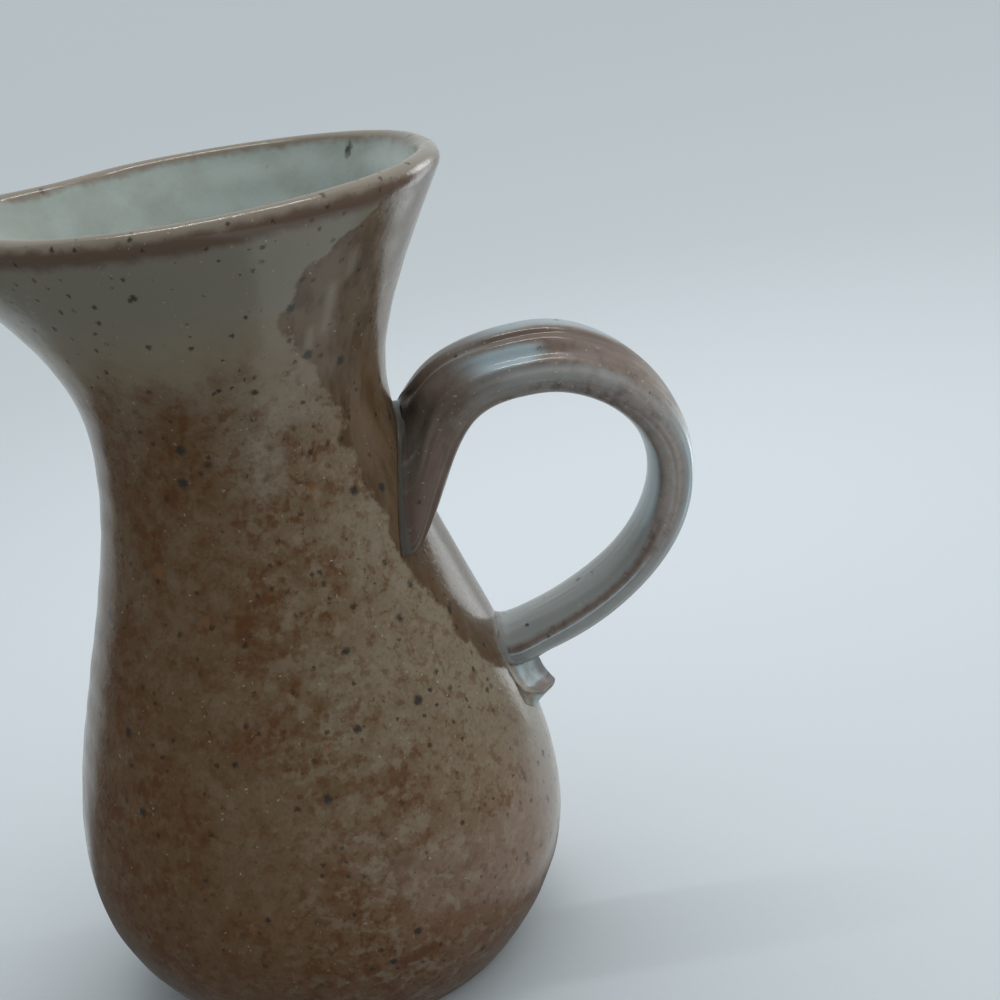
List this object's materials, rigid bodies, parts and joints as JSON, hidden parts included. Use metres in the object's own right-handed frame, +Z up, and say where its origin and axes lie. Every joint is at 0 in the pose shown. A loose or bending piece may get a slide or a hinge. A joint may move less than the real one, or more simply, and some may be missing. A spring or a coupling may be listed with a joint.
{
  "type": "creamer",
  "caption": "Small thrown stoneware jug for cream, with a wide flared rim, a drawn pouring lip, a full low belly and a pulled strap handle ending in a pressed thumb tail.",
  "frame": {"origin": "centre of the foot ring on the plane it stands on", "axes": "+Z up along the jug's axis, +X from the axis towards the handle, so the pouring lip is on -X"},
  "size_m": [0.1043, 0.0714, 0.1201],
  "materials": {
    "body_glaze": "satin ash glaze, toasty brown with grey-green and iron specks",
    "handle_glaze": "glossy ash glaze, brown on the ridges and blue-grey where it pools",
    "slip": "fired clay slip under a pooled pale blue-green glaze"
  },
  "bodies": {
    "root": {"thrown_body": "body_glaze", "handle_strap": "handle_glaze", "upper_slip": "slip", "lower_slip": "slip", "thumb_tail": "handle_glaze"}
  },
  "joints": []
}
